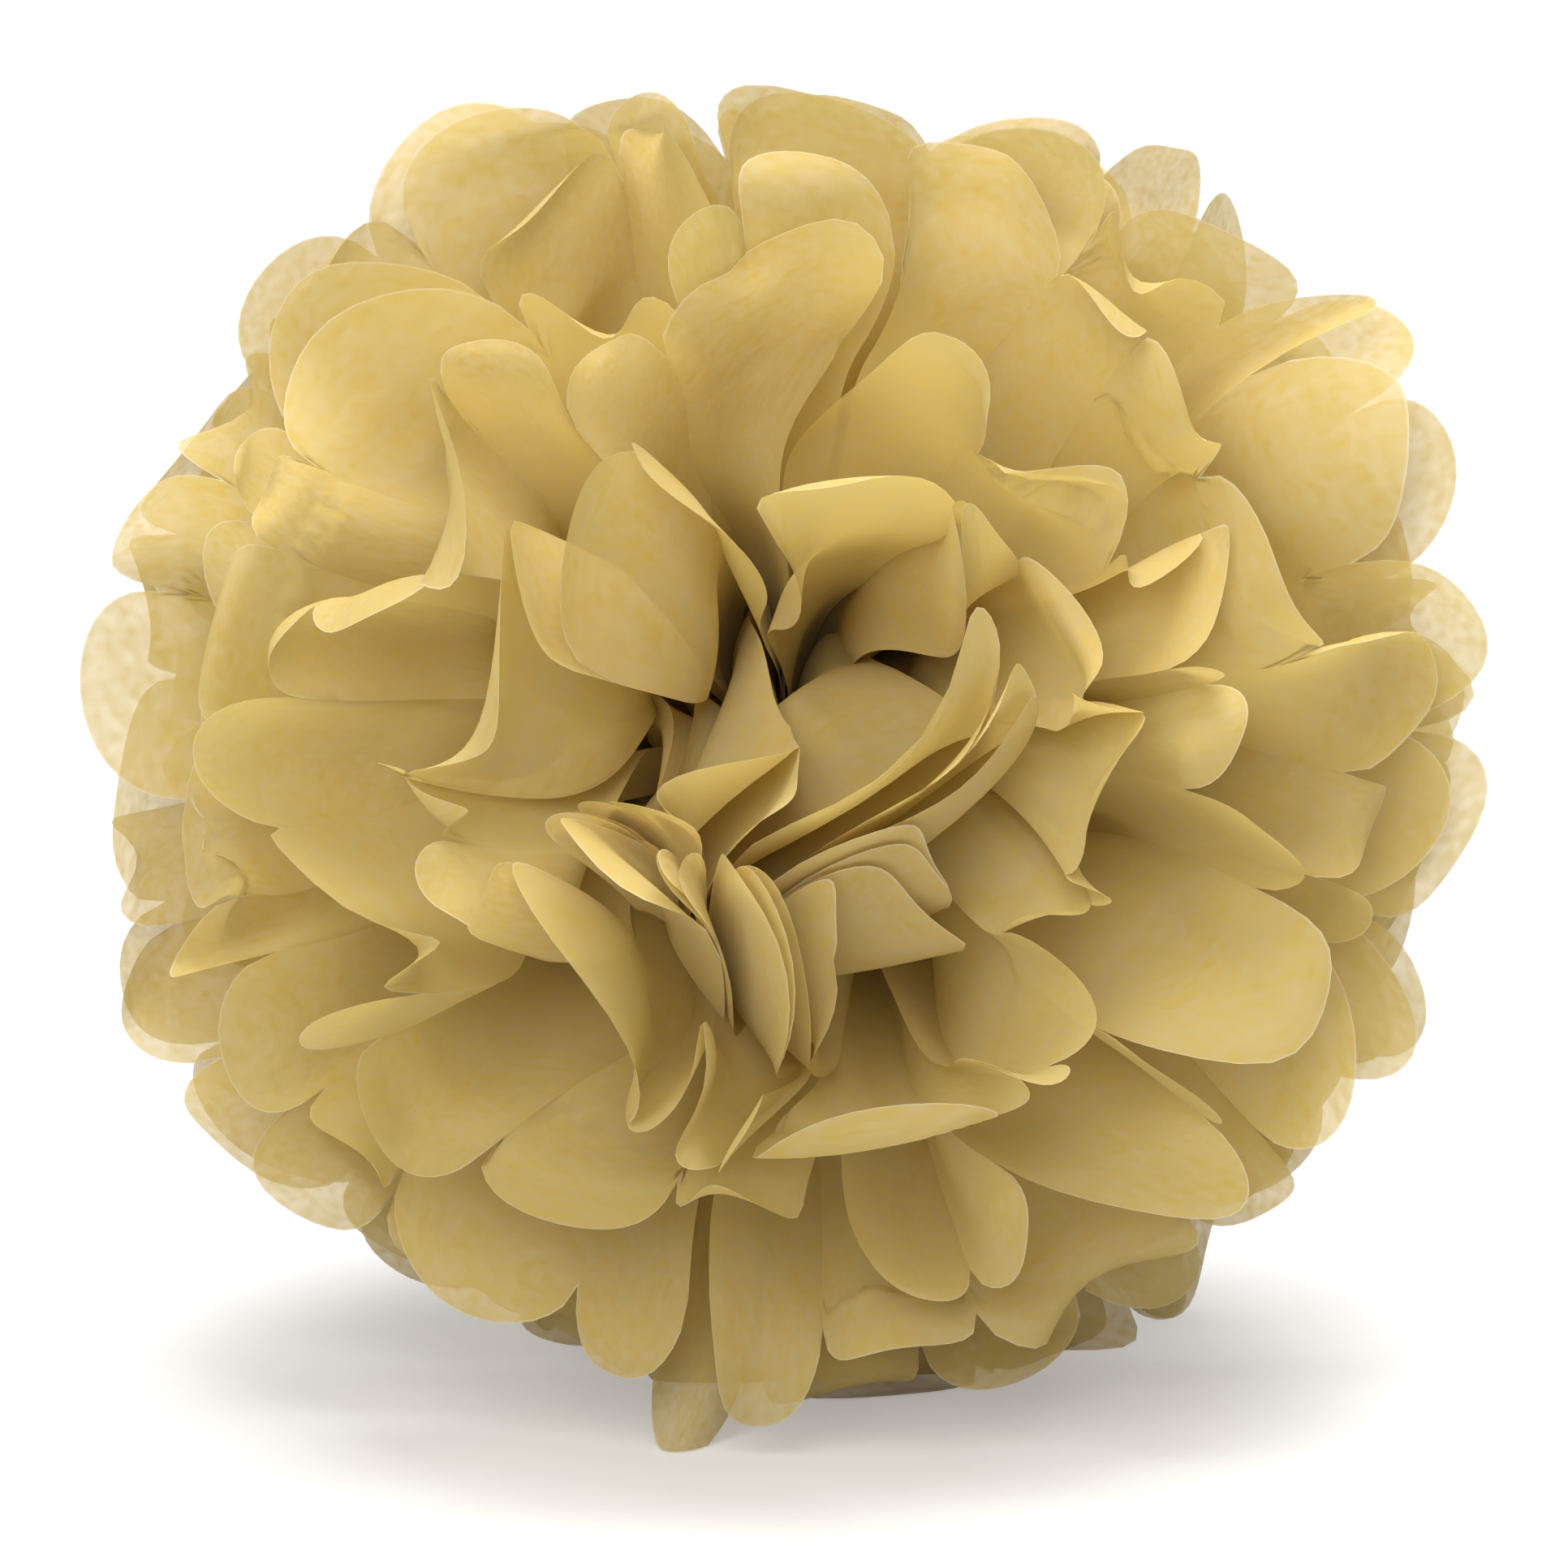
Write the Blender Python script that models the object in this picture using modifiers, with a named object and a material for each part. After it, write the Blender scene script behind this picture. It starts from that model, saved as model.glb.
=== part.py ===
# Tissue paper pom pom: a stack of pleated sheets with rounded ends, pinched by one wire and pulled apart.
# Each sheet is one bow: a flat band under the wire, and a pleated fan to the left and to the right.
# The flower's front pole looks along -Y. Polar angles are measured from it, azimuths from +X towards +Z.
import math

import bmesh
import bpy
import numpy as np

# Paper, in metres
sheet_length = 0.250  # along the pleats, from rounded end to rounded end
sheet_width = 0.350  # across the pleats
pleat_count = 12  # panels across a sheet, and so rounded ends on each side of it
sheet_count = 12
paper_wall = 0.0002
waist_gap = 0.0003  # between sheets that are pressed together under the wire

# How the sheets are pulled apart
pole_clear = math.radians(2.8)  # left open round each pole
seam_half = math.radians(1.2)  # half the slit between a sheet's two fans, as an arc on the ball
seam_wander = math.radians(12.0)  # how far a sheet's slit strays from straight up or straight down
shell_room = 0.18  # how much wider the spacing is at the poles than the mean, and narrower round the middle
shell_wave = 0.36  # waviness of the border between two sheets, as a share of their spacing
shell_clear = math.radians(0.8)  # kept between a sheet and each border of its own space
pleat_unevenness = 0.34  # spread of the pleats' openness round the widest part of the ball
pole_unevenness = 0.60  # the same near the poles, where a few pleats lie open and the rest stay closed
least_pleat = 0.34  # the most closed pleat, as a share of an even one
fold_unevenness = 0.50  # how far a fold may fall short of the depth it has room for
paper_slack = 0.94  # chord of a panel over its width, and so how much it bellies
belly_limit = 0.16  # the most a panel bellies, as a share of its chord
tip_lean = math.radians(5.0)
shoulder_lean = 0.4  # of the lean at the tip
even_room = 1.02  # a pleat may always open this many times as far as an even one
front_lean = (-0.004, 0.012)  # sideways and up: how far the petals at a pole lean over the gap there
back_lean = (0.009, -0.006)
lean_spread = math.radians(24.0)  # from a pole, where they lean less than half as far
crumple_depth = 0.032  # of the slow dents that all the sheets share, as a share of the ball's radius
crumple_waves = 14
crumple_length = (0.44, 0.88)  # from the shortest wave to the longest, as shares of the ball's radius
opening_length = 0.050  # the outer part of a pleat, which has opened
table_fold = 0.0069  # how far the ball has sunk, its lowest ends folded over onto the table
crease_width = 0.0006  # of the bend at the table
crease_merge = 0.0001  # a corner this near the crease is moved onto it

# Wire
wire_diameter = 0.0009
wire_gap = 0.0003  # between the wire and the bundle it holds
waist_half_width = 0.0020  # half the band of the first sheet under the wire
bundle_half_height = 0.0025  # half the band's height on the first sheet
twist_length = 0.018
twist_turns = 3
turn_points = 8  # of the wire's centre line, in one turn of the twist
lap_points = 25
lap_start = 18  # degrees from the top, where the wire leaves the twist and where it comes back to it
twist_gap = 0.0003  # between the two strands

# How open the pleats of the two front sheets lie, from the top to the bottom of each side: 1 is closed
front_pleats = {
    (0, 1): (8, 1, 1, 8, 1, 1, 1, 1, 10, 1, 1, 1),
    (0, -1): (1, 7, 1, 1, 1, 9, 1, 1, 8, 1, 1, 1),
    (1, 1): (5, 1, 1, 5, 1, 5, 1, 1, 5, 1, 1, 5),
    (1, -1): (1, 5, 1, 5, 1, 1, 5, 1, 5, 1, 5, 1),
}

seed = 20
crumple_seed = 7
reach = sheet_length / 2
panel_width = sheet_width / pleat_count
notch_radius = reach - panel_width / 2
shoulder_radius = reach - opening_length
sheet_pitch = paper_wall + waist_gap
bundle_depth = sheet_pitch * (sheet_count - 1) / 2 + paper_wall / 2
bundle_radius = math.hypot(bundle_depth, bundle_half_height)
wire_radius = wire_diameter / 2
loop_radius = bundle_radius + wire_gap + wire_radius
shell_step = (math.pi - 2 * pole_clear) / sheet_count
shell_waves = (2, 3, 5, 9)  # waves of a border, counted round the ball
settling_rounds = 20  # of limiting the pleats' openness and sharing out what is left

# Columns of one panel, from -1 at one fold to 1 at the next
across = np.array([-1.0, -0.6, 0.0, 0.6, 1.0])
column_count = len(across) - 1


def clear_scene():
    for obj in list(bpy.data.objects):
        bpy.data.objects.remove(obj)


def make_material(name, colour, roughness, metallic=0.0):
    material = bpy.data.materials.new(name)
    material.use_nodes = True
    shader = material.node_tree.nodes["Principled BSDF"]
    shader.inputs["Base Color"].default_value = (*colour, 1.0)
    shader.inputs["Roughness"].default_value = roughness
    shader.inputs["Metallic"].default_value = metallic
    return material


def shell_place(number):
    """Polar angle of a border before it is made wavy; at a half number, of the middle of a sheet's space."""
    wider = shell_room * sheet_count / (2 * math.pi) * math.sin(2 * math.pi * number / sheet_count)
    return pole_clear + shell_step * (number + wider)


def shell_border(index, azimuth):
    """Polar angle of the wavy border in front of sheet number index."""
    dice = np.random.RandomState(seed + 1000 + index)
    wave = 0.0
    for harmonic in shell_waves:
        wave = wave + np.sin(harmonic * azimuth + dice.uniform(0, 2 * math.pi)) / len(shell_waves)
    taper = math.sqrt(math.sin(math.pi * index / sheet_count)) if 0 < index < sheet_count else 0.0
    return shell_place(index) + shell_step * shell_wave * taper * wave


def fan_character(index, side):
    """How uneven one fan is: the openness of its pleats, and how far each fold, lean and belly goes."""
    dice = np.random.RandomState(seed + 2 * index + (side > 0))
    circle = math.sin(shell_place(index + 0.5))
    spread = pleat_unevenness + pole_unevenness * (1 - circle)
    openness = np.exp(spread * dice.normal(0, 1, pleat_count))
    if (index, side) in front_pleats and pleat_count == len(front_pleats[index, side]):
        openness = np.array(front_pleats[index, side], dtype=float)
    widest = panel_width / notch_radius / circle / math.pi
    for _ in range(settling_rounds):
        openness = openness / openness.mean()
        openness = np.clip(openness, least_pleat, max(widest * pleat_count, even_room))
    return {
        "openness": openness / openness.sum(),
        "depth": 1 - fold_unevenness * dice.uniform(0, 1, pleat_count + 1),
        "stray": dice.uniform(-1, 1, pleat_count + 1),
        "lean": dice.uniform(-1, 1, pleat_count),
        "belly": dice.uniform(0.3, 1, pleat_count),
    }


def fan_directions(index, azimuths, character, radius, opening):
    """(azimuth, polar angle) of every column of a fan at a radius. opening is its share of the tip's lean."""
    number = np.arange(pleat_count + 1)
    front, back = shell_border(index, azimuths), shell_border(index + 1, azimuths)
    middle, room = (front + back) / 2, (back - front) / 2 - shell_clear
    spread = np.abs(np.gradient(azimuths)) * np.sin(middle)
    # a panel keeps its width, so the less it spreads sideways the deeper it folds
    depth = 0.5 * np.sqrt(np.clip((paper_slack * panel_width / radius) ** 2 - spread**2, 0, None))
    depth = np.minimum(depth, room) * character["depth"]
    folds = middle + np.where(number % 2 == 0, -1, 1) * depth + character["stray"] * (room - depth)

    share = (across + 1) / 2
    turn, rise = np.diff(azimuths)[:, None], np.diff(folds)[:, None]
    circle = np.sin((folds[:-1] + folds[1:]) / 2)[:, None]
    width = np.hypot(turn * circle, rise)
    # every panel of a fan bellies the same way round, so two that face each other across a fold stay apart.
    # they belly less towards the poles, where they stand close, and not at all along the slit
    # 3/8: a shallow arc is longer than its chord by 8/3 of its height squared over the chord
    belly = np.sqrt(3 / 8 * width * np.clip(panel_width / radius - width, 0, None))
    belly = np.minimum(belly, belly_limit * width * circle) * character["belly"][:, None]
    belly[[0, -1]] = 0
    belly = belly * (1 - across**2)
    # an open panel also leans forward or back between its folds, a closed one hardly
    openness = np.abs(turn) * circle / width
    lean = tip_lean * opening * character["lean"][:, None] * openness * (1 - across**2)
    azimuth = azimuths[:-1, None] + turn * share + belly * np.abs(rise) / width / circle
    polar = folds[:-1, None] + rise * share - belly * np.sign(rise) * turn * circle / width + lean
    azimuth = np.append(azimuth[:, :-1].ravel(), azimuths[-1])
    polar = np.append(polar[:, :-1].ravel(), folds[-1])
    least = shell_border(index, azimuth) + shell_clear
    most = shell_border(index + 1, azimuth) - shell_clear
    return azimuth, np.clip(polar, least, most)


def lean_over(points):
    """Shifts the petals round each pole to one side, most at the pole and at the rims."""
    radius = np.linalg.norm(points, axis=1)
    for pole, lean in ((-1, front_lean), (1, back_lean)):
        from_pole = np.arccos(np.clip(pole * points[:, 1] / radius, -1, 1))
        share = np.exp(-((from_pole / lean_spread) ** 2)) * (radius / reach) ** 2
        points = points + share[:, None] * np.array([lean[0], 0.0, lean[1]])
    return points


def crumple(points):
    """Pushes the petals about by their direction alone: a sum of waves, the same for all sheets."""
    dice = np.random.RandomState(crumple_seed)
    radius = np.linalg.norm(points, axis=1)[:, None]
    moved = np.zeros_like(points)
    for _ in range(crumple_waves):
        way = dice.normal(0, 1, 3)
        way = way / np.linalg.norm(way) * 2 * math.pi / dice.uniform(*crumple_length)
        push = dice.normal(0, 1, 3)
        moved += np.sin(points / radius @ way + dice.uniform(0, 2 * math.pi))[:, None] * push
    return points + moved * crumple_depth * math.sqrt(2 / crumple_waves) * radius


def place(root, azimuth, polar, radius):
    """Points at a radius from the ends of a band, which lie in root."""
    way = np.stack([np.cos(azimuth) * np.sin(polar), -np.cos(polar), np.sin(azimuth) * np.sin(polar)], axis=1)
    return crumple(lean_over(root + way * np.reshape(radius, (-1, 1))))


def band_end(index, side):
    """The round end of one sheet's flat band, where its folds leave the wire, from top to bottom."""
    depth = sheet_pitch * (index - (sheet_count - 1) / 2)
    layer = min(index, sheet_count - 1 - index)
    half_width = waist_half_width + sheet_pitch * layer
    half_height = math.sqrt(bundle_radius**2 - (abs(depth) + paper_wall / 2) ** 2)
    turn = np.linspace(math.pi / 2, -math.pi / 2, pleat_count + 1)
    width = side * (half_width + half_height * np.cos(turn))
    return np.stack([width, np.full_like(width, depth), half_height * np.sin(turn)], axis=1)


def fan_rows(index, side):
    """Three rows of points of one fan: at the wire, at the shoulder and at the scalloped rim."""
    character = fan_character(index, side)
    seams = np.random.RandomState(seed + 500 + index).uniform(-seam_wander, seam_wander, 2)
    slit = seam_half / math.sin(shell_place(index + 0.5))
    top = math.pi / 2 + seams[0] - side * slit
    bottom = math.pi / 2 + seams[1] - side * (math.pi - slit)
    azimuths = top + (bottom - top) * np.concatenate([[0.0], np.cumsum(character["openness"])])
    root = band_end(index, side)
    stations = np.linspace(0, pleat_count, pleat_count * column_count + 1)
    roots = np.stack([np.interp(stations, np.arange(pleat_count + 1), axis) for axis in root.T], axis=1)
    shoulder = fan_directions(index, azimuths, character, shoulder_radius, shoulder_lean)
    rim = fan_directions(index, azimuths, character, notch_radius, 1.0)
    bulge = np.append(np.tile(np.sqrt(1 - across[:-1] ** 2), pleat_count), 0.0)
    rim_radius = notch_radius + panel_width / 2 * bulge
    used = np.abs(roots[:, 0])  # of a fold's length, from the middle of the sheet to where it leaves the wire
    return root, place(roots, *shoulder, shoulder_radius - used), place(roots, *rim, rim_radius - used)


def fan_faces(first, side):
    """Faces of one fan whose three rows start at vertex number first."""
    shoulder = first + pleat_count + 1
    rim = shoulder + pleat_count * column_count + 1
    half = column_count // 2
    faces = []
    for panel in range(pleat_count):
        left, right = first + panel, first + panel + 1
        column = shoulder + panel * column_count
        faces += [(left, column + i, column + i + 1) for i in range(half)]
        faces += [(left, column + half, right)]
        faces += [(right, column + i, column + i + 1) for i in range(half, column_count)]
    for i in range(pleat_count * column_count):
        faces += [(shoulder + i, rim + i, rim + i + 1, shoulder + i + 1)]
    return faces if side > 0 else [face[::-1] for face in faces]


def lay_on_table(mesh, away):
    """Folds whatever hangs below the table flat onto it, away from the middle of the ball along Y."""
    table = table_fold - reach
    paper = bmesh.new()
    paper.from_mesh(mesh)
    for height in (table, table - crease_width):
        everything = paper.verts[:] + paper.edges[:] + paper.faces[:]
        bmesh.ops.bisect_plane(
            paper, geom=everything, dist=crease_merge, plane_co=(0, 0, height), plane_no=(0, 0, 1)
        )
    for vert in paper.verts:
        if vert.co.z < table:
            over = 1 - table / vert.co.z
            length = vert.co.length * over
            vert.co *= 1 - over
            vert.co.y += away * length
    bmesh.ops.triangulate(paper, faces=paper.faces)  # so that both faces of the paper bend on the same lines
    paper.to_mesh(mesh)
    paper.free()


def make_sheet(index, material, collection):
    """One bow-shaped sheet: two fans joined by the flat band under the wire."""
    points, faces, starts = [], [], {}
    for side in (1, -1):
        starts[side] = len(points)
        faces += fan_faces(len(points), side)
        for row in fan_rows(index, side):
            points += row.tolist()
    for fold in range(pleat_count):
        right, left = starts[1] + fold, starts[-1] + fold
        faces.append((left, right, right + 1, left + 1))

    name = f"sheet_{index + 1:02d}"
    mesh = bpy.data.meshes.new(name)
    mesh.from_pydata(points, [], faces)
    lay_on_table(mesh, -1 if index < sheet_count / 2 else 1)
    obj = bpy.data.objects.new(name, mesh)
    collection.objects.link(obj)
    obj.data.materials.append(material)
    wall = obj.modifiers.new("paper", "SOLIDIFY")
    wall.thickness = paper_wall
    wall.offset = 0
    wall.use_quality_normals = True
    return obj


def wire_route():
    """The wire's centre line: down one strand of the twist, once round the bundle and up the other strand."""
    strand = wire_radius + twist_gap / 2
    foot = loop_radius + wire_diameter
    turn = np.linspace(1, 0, turn_points * twist_turns + 1)
    angle = math.pi + 2 * math.pi * twist_turns * turn
    down = np.stack([strand * np.cos(angle), strand * np.sin(angle), foot + twist_length * turn], axis=1)
    up = (down * [-1, -1, 1])[::-1]
    lap = np.radians(np.linspace(lap_start, 360 - lap_start, lap_points))
    side = strand * (lap / math.pi - 1)
    loop = np.stack([side, -loop_radius * np.sin(lap), loop_radius * np.cos(lap)], axis=1)
    return np.concatenate([down, loop, up])


def make_wire(material, collection):
    curve = bpy.data.curves.new("tie_wire", "CURVE")
    curve.dimensions = "3D"
    curve.bevel_depth = wire_radius
    curve.bevel_resolution = 1
    curve.use_fill_caps = True
    route = wire_route()
    spline = curve.splines.new("POLY")
    spline.points.add(len(route) - 1)
    for point, place_on_route in zip(spline.points, route):
        point.co = (*place_on_route, 1)
    obj = bpy.data.objects.new("tie_wire", curve)
    collection.objects.link(obj)
    obj.data.materials.append(material)
    return obj


def set_down(pieces, collection):
    """Carries every piece on an empty, so that the ball stands on the ground, centred over the origin."""
    bpy.context.view_layer.update()
    graph = bpy.context.evaluated_depsgraph_get()
    meshes = [piece.evaluated_get(graph).to_mesh() for piece in pieces]
    corners = np.array([vertex.co[:] for mesh in meshes for vertex in mesh.vertices])
    low, high = corners.min(axis=0), corners.max(axis=0)
    holder = bpy.data.objects.new("ball_centre", None)
    collection.objects.link(holder)
    holder.location = (-(low[0] + high[0]) / 2, -(low[1] + high[1]) / 2, -low[2])
    for piece in pieces:
        piece.parent = holder


def build_pom_pom():
    clear_scene()
    collection = bpy.data.collections.new("tissue_pom_pom")
    bpy.context.scene.collection.children.link(collection)
    tissue = make_material("tissue", (0.62, 0.49, 0.25), 0.85)
    steel = make_material("wire", (0.55, 0.55, 0.56), 0.4, metallic=1.0)
    pieces = [make_sheet(index, tissue, collection) for index in range(sheet_count)]
    pieces.append(make_wire(steel, collection))
    set_down(pieces, collection)


build_pom_pom()
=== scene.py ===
import math

import bpy
import numpy as np
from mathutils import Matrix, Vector


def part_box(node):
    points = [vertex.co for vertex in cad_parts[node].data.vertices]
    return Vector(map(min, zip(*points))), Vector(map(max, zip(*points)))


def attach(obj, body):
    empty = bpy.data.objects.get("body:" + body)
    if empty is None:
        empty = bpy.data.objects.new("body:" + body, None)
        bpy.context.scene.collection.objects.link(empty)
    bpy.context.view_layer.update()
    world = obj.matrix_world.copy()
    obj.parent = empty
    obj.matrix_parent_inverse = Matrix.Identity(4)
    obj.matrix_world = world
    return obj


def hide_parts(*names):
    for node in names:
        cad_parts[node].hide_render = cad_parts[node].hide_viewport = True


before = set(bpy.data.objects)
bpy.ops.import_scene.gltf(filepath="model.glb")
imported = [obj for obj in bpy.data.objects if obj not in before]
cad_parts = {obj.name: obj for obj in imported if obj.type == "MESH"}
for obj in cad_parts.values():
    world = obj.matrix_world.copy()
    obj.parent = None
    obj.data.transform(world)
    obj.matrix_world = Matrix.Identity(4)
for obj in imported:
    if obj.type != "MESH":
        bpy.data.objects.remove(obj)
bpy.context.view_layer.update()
print("frame loaded")

# The paper: twelve sheets in twelve pleats, with a half circle cut on each end of each pleat. Metres and degrees.
paper = {
    "sheets": 12,
    "pleats": 12,
    "width": 0.350,
    "length": 0.250,
    "pitch": 0.0005,          # from sheet to sheet under the wire
    "tableGap": 0.0002,
    "leastGap": 0.0006,       # between two sheets that touch
    "bandHalf": 0.0020,       # of the flat band under the wire, in the outermost sheet
    "bandInset": 0.0012,      # of the band's edges from the wire's outside
    "bundleEnd": 0.020,       # nearer the middle the zigzag is still closed
    "slack": 0.97,            # share of a panel's width that its zigzag takes up
    "spurred": 0.4,           # share of the notches where the scissors left a small beak
    "spur": 0.0014,
    "spurSizes": (0.3, 1.0),
    "spurWidth": 0.0007,
    "tableLift": 0.0004,      # of what lies folded on the table
    "tableLiftOver": 0.004,
}
# How the sheets are pulled apart. Polar angles are from the front pole, which looks along -Y.
bloom = {
    "seed": 20,
    "borderDraws": 1000,      # added to the seed, so that each kind of draw has its own
    "slitDraws": 500,
    "lobeSeed": 300,
    "poleClear": 2.8,
    "slit": 0.6,              # half the slit between a sheet's two fans, as an arc on the ball
    "seamWander": 12.0,       # how far a slit strays from the upright plane
    "shellRoom": 0.18,        # how much wider the sheets' spacing is at the poles
    "shellWave": 0.36,        # waviness of the border between two sheets, as a share of their spacing
    "shellClear": 0.8,        # between a fold and its border
    "shellWaves": (2, 3, 5, 9),
    "unevenPleats": 0.34,     # spread of how open the pleats lie, as a power of e
    "unevenAtPole": 0.60,     # there a few pleats lie open and the rest stay closed
    "leastPleat": 0.34,
    "evenRoom": 1.02,         # a fan with less room than this leaves its pleats even
    "evenRounds": 20,
    "unevenFolds": 0.50,      # most that a fold falls short of its full depth
    "shoulder": 0.075,        # past this the pleats have opened
    "nestFrom": 0.030,        # nearer the wire all sheets share their folds
    "nestTo": 0.080,          # past this each sheet has its own
    "nestEdge": 1.5,          # from the shared folds to the pole
    "roomFrom": 0.060,        # from here to the next a fan takes up the room between its neighbours
    "roomTo": 0.095,
    "nearestPole": 0.6,
    "deepest": 40.0,          # half of the zigzag, where the pleats are tightest
    "lean": 5.0,              # most that a panel's middle leans forward or back
    "shoulderLean": 0.4,      # share of the lean that a panel has before it opens
    "frontLean": (-0.001, 0.006),  # sideways and up, at the front pole, over the gap there
    "backLean": (0.009, -0.006),
    "leanSpread": 24.0,
    "stray": 1.3,             # how far a fold's tip leans forward or back
    "turn": 1.6,              # how far a fold's tip leans round the ball
    "leastCircle": 0.35,      # keeps the turn small next to a pole
    "belly": 0.16,            # most sag of a panel, as a share of its chord
    "leastBelly": 0.3,
    "flare": 0.0035,          # how far a lobe bows, its tip curls and its two corners part
    "curl": 0.0030,
    "twist": 0.0030,
    "rolled": 0.42,           # share of the lobes that are bent over
    "rollOut": 0.72,          # share of those that bend away from their pole
    "rollFrom": 0.094,
    "rollStray": (-0.004, 0.006),
    "rollTight": 62.0,        # curvature, 1 / metre
    "rollSizes": (0.25, 1.0),
    "rollSkew": 1.5,          # more of them bend a little than much
    "leastRoll": 0.02,
    "mostBend": 1.35,         # radians
    "bendPastNotch": 0.003,
    "curled": 0.26,           # share of the lobes whose very end curls over
    "curlFrom": 0.111,
    "curlStray": (-0.003, 0.005),
    "curlSizes": (0.5, 1.0),
    "curlTight": 150.0,
    "crumple": 0.032,         # depth of the slow dents that all the sheets share, as a share of the radius
    "crumpleWaves": 14,
    "crumpleLength": (0.44, 0.88),
    "crumpleSeed": 7,
    "frontClose": 0.50,       # how far the tips at the front pole draw together over the hole there
    "backClose": 0.50,
    "closeFrom": 0.070,
    "closeTo": 0.125,
    "closeSpread": 13.0,
    "crush": 0.0022,          # depth of the quicker dents, which also bend a petal along its length
    "frontCrush": 0.0065,     # added round the front pole
    "crushSpread": 32.0,
    "crushFrom": 0.035,
    "crushTo": 0.095,
    "crushWaves": 16,
    "crushLength": (0.045, 0.095),
    "crushSteps": 6,
    "crushSeed": 2,
}
# How open the pleats of the two front sheets lie, from the top to the bottom of each side: 1 is closed
frontPleats = {
    (0, 1): (8, 1, 1, 8, 1, 1, 1, 1, 10, 1, 1, 1),
    (0, -1): (1, 7, 1, 1, 1, 9, 1, 1, 8, 1, 1, 1),
    (1, 1): (5, 1, 1, 5, 1, 5, 1, 1, 5, 1, 1, 5),
    (1, -1): (1, 5, 1, 5, 1, 1, 5, 1, 5, 1, 5, 1),
}
# The grids: columns across each pleat and rows along it, and the grid on which contact is settled.
mesh = {
    "columns": 16,
    "rows": 46,
    "gridStep": 0.5,
    "gridRows": 60,
    "softening": 4,
    "contactRounds": 4,
    "finerRim": 1.25,         # how much closer the rows lie at the rim
    "start": 0.006,           # radius of the first row
    "settled": 0.022,         # how far past it a fan has left the band's outline
    "rimReach": 0.001,        # a sheet still counts this far past its rim
    "absent": 0.002,          # what it counts beyond
    "patternBand": 0.004,
    "patternStep": 0.37,      # shifts the fibres from sheet to sheet
}

panelWidth = paper["width"] / paper["pleats"]
rimRadius = paper["length"] / 2
notchRadius = rimRadius - panelWidth / 2
poleClear = math.radians(bloom["poleClear"])
shellStep = (math.pi - 2 * poleClear) / paper["sheets"]
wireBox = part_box("tie_wire")
bundleRadius = (wireBox[1].y - wireBox[0].y) / 2
middle = np.array([
    (wireBox[0].x + wireBox[1].x) / 2,
    (wireBox[0].y + wireBox[1].y) / 2,
    wireBox[0].z + bundleRadius,
])

# Stations run across a sheet, from the slit at the top to the slit at the bottom: u is -1 on a fold and 1 on the
# next, and steps halfway between evenly and as a cosine, so that the stations lie closer at the folds.
stations = paper["pleats"] * mesh["columns"] + 1
panel = np.minimum(np.arange(stations) // mesh["columns"], paper["pleats"] - 1)
half = (np.arange(stations) - panel * mesh["columns"]) / mesh["columns"]
u = 0.5 * -np.cos(np.pi * half) + 0.5 * (2 * half - 1)


# Rises from 0 at the start to 1 at the end: 3 x squared minus 2 x cubed.
def smooth(value, start, end):
    x = np.clip((value - start) / (end - start), 0, 1)
    return x * x * (3 - 2 * x)


# How far the pleats have opened, from 0 at the shoulder to 1 at the rim.
def openedAt(radius):
    return np.clip((radius - bloom["shoulder"]) / (rimRadius - bloom["shoulder"]), 0, 1)


# A bell curve round a pole, 1 at the pole, for polar angles in radians and a spread in degrees.
def bell(polar, spread):
    return np.exp(-((np.degrees(polar) / spread) ** 2))


# Directions, pushes and starts of plane waves, all drawn at random. The lengths are the longest and shortest.
def drawWaves(seed, count, lengths):
    dice = np.random.RandomState(seed)
    waves = []
    for _ in range(count):
        way = dice.normal(0, 1, 3)
        way = way / np.linalg.norm(way) * 2 * math.pi / dice.uniform(*lengths)
        waves.append((way, dice.normal(0, 1, 3), dice.uniform(0, 2 * math.pi)))
    return waves


# The sum of those waves at each point, as a push in three directions.
def sumWaves(waves, points):
    return sum(np.sin(points @ way + start)[..., None] * push for way, push, start in waves)


# Polar angle of a border, or of the middle of a sheet's space at a half number, before it is made wavy.
def shellPlace(number):
    wider = bloom["shellRoom"] * paper["sheets"] / (2 * math.pi) * math.sin(2 * math.pi * number / paper["sheets"])
    return poleClear + shellStep * (number + wider)


# Polar angle of the wavy border in front of a sheet: an even spacing plus a few sines.
def shellBorder(index, azimuth):
    dice = np.random.RandomState(bloom["seed"] + bloom["borderDraws"] + index)
    wave = 0.0
    for harmonic in bloom["shellWaves"]:
        wave = wave + np.sin(harmonic * azimuth + dice.uniform(0, 2 * math.pi)) / len(bloom["shellWaves"])
    taper = math.sqrt(max(math.sin(math.pi * index / paper["sheets"]), 0))
    return shellPlace(index) + shellStep * bloom["shellWave"] * taper * wave


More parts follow.
